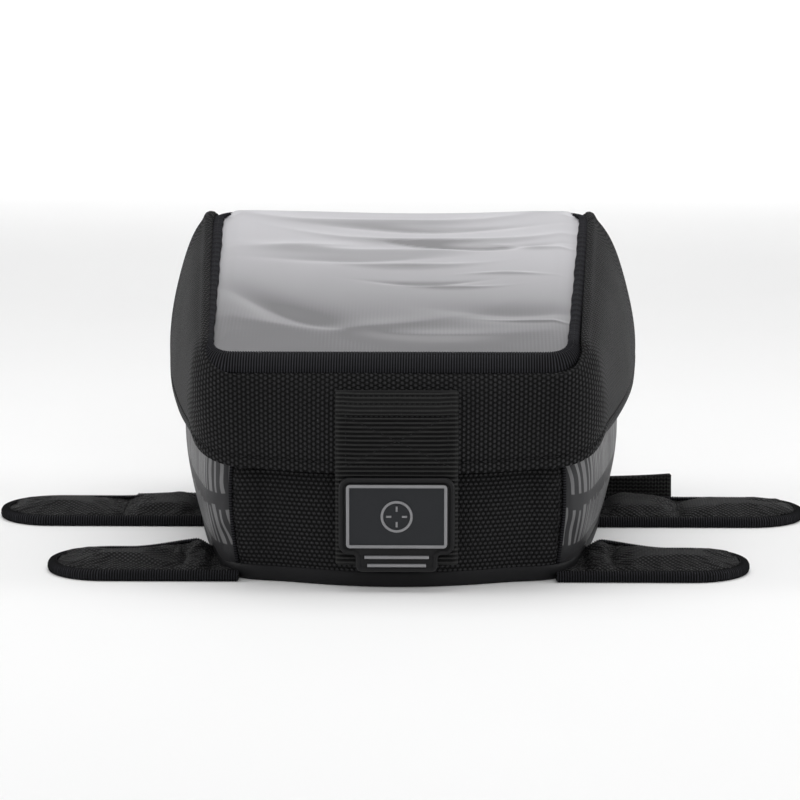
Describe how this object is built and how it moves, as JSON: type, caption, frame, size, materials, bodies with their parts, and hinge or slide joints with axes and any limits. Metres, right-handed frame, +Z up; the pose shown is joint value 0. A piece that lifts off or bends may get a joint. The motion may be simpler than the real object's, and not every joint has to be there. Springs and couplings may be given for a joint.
{
  "type": "motorcycle tank bag",
  "caption": "Small padded tank bag with a sloping clear phone window in its flip lid, a webbing closure tab and magnet flaps at the sides.",
  "frame": {"origin": "middle of the footprint, on the surface the bag stands on", "axes": "+Z up, the rider on the -Y side at the bag's low narrow end, +X to the right seen from there"},
  "size_m": [0.376, 0.206, 0.1392],
  "materials": {
    "ballistic_nylon": "coarse ballistic weave, black",
    "coated_side": "smooth coated cloth with a printed grey pattern",
    "base_rubber": "smooth rubberised sheet",
    "flap_nylon": "fine diamond weave",
    "soft_backing": "soft brushed cloth",
    "binding_tape": "ribbed grosgrain",
    "webbing": "ribbed webbing",
    "patch_rubber": "moulded, satin",
    "patch_trim": "raised light grey lines",
    "hook_and_loop": "hook and loop pile",
    "window_film": "clear wrinkled film",
    "grey_lining": "plain lining cloth",
    "foam": "closed-cell foam",
    "stiffener": "plain sheet",
    "magnet": "plated"
  },
  "bodies": {
    "tub": {"base_panel": "base_rubber", "base_board": "stiffener", "front_panel": "ballistic_nylon", "side_right_panel": "coated_side", "rear_panel": "ballistic_nylon", "side_left_panel": "coated_side", "front_foam": "foam", "side_right_foam": "foam", "rear_foam": "foam", "side_left_foam": "foam", "liner": "grey_lining", "rim_binding": "binding_tape", "front_loop_patch": "hook_and_loop", "anchor_tab_left": "webbing", "anchor_tab_right": "webbing", "hinge_strip_tub": "webbing"},
    "lid": {"lid_skirt": "ballistic_nylon", "lid_hem": "binding_tape", "lid_lining": "grey_lining", "lid_rear_wall": "ballistic_nylon", "window_film": "window_film", "window_binding": "binding_tape", "pocket_back": "grey_lining", "closure_strap_upper": "webbing", "hinge_strip_lid": "webbing"},
    "closure_tab": {"closure_strap_lower": "webbing", "tab_patch": "patch_rubber", "patch_frame": "patch_trim", "patch_emblem": "patch_trim", "grip_bar_upper": "patch_trim", "grip_bar_lower": "patch_trim", "tab_hook_patch": "hook_and_loop"},
    "flap_front_left": {"flap_front_left_binding": "binding_tape", "flap_front_left_underside": "soft_backing", "flap_front_left_cover": "flap_nylon", "flap_front_left_magnet_outer": "magnet", "flap_front_left_magnet_inner": "magnet"},
    "flap_front_right": {"flap_front_right_binding": "binding_tape", "flap_front_right_underside": "soft_backing", "flap_front_right_cover": "flap_nylon", "flap_front_right_magnet_outer": "magnet", "flap_front_right_magnet_inner": "magnet"},
    "flap_rear_left": {"flap_rear_left_binding": "binding_tape", "flap_rear_left_underside": "soft_backing", "flap_rear_left_cover": "flap_nylon", "flap_rear_left_magnet_outer": "magnet", "flap_rear_left_magnet_inner": "magnet"},
    "flap_rear_right": {"flap_rear_right_binding": "binding_tape", "flap_rear_right_underside": "soft_backing", "flap_rear_right_cover": "flap_nylon", "flap_rear_right_magnet_outer": "magnet", "flap_rear_right_magnet_inner": "magnet"}
  },
  "joints": [
    {"name": "lid_hinge", "type": "hinge", "parent": "tub", "child": "lid", "pos_m": [0, 0.1023, 0.0987], "axis": [-1, 0, 0], "range_deg": [0, 115]},
    {"name": "closure_tab_hinge", "type": "hinge", "parent": "lid", "child": "closure_tab", "pos_m": [0, -0.0978, 0.055], "axis": [-1, 0, 0], "range_deg": [0, 125]},
    {"name": "flap_front_left_hinge", "type": "hinge", "parent": "tub", "child": "flap_front_left", "pos_m": [-0.08084, -0.0585, 0.0018], "axis": [-0.1305, 0.9915, 0], "range_deg": [-80, 55]},
    {"name": "flap_front_right_hinge", "type": "hinge", "parent": "tub", "child": "flap_front_right", "pos_m": [0.08084, -0.0585, 0.0018], "axis": [-0.1305, -0.9915, 0], "range_deg": [-80, 55]},
    {"name": "flap_rear_left_hinge", "type": "hinge", "parent": "tub", "child": "flap_rear_left", "pos_m": [-0.09622, 0.0505, 0.0018], "axis": [-0.1305, 0.9915, 0], "range_deg": [-80, 55]},
    {"name": "flap_rear_right_hinge", "type": "hinge", "parent": "tub", "child": "flap_rear_right", "pos_m": [0.09622, 0.0505, 0.0018], "axis": [-0.1305, -0.9915, 0], "range_deg": [-80, 55]}
  ]
}
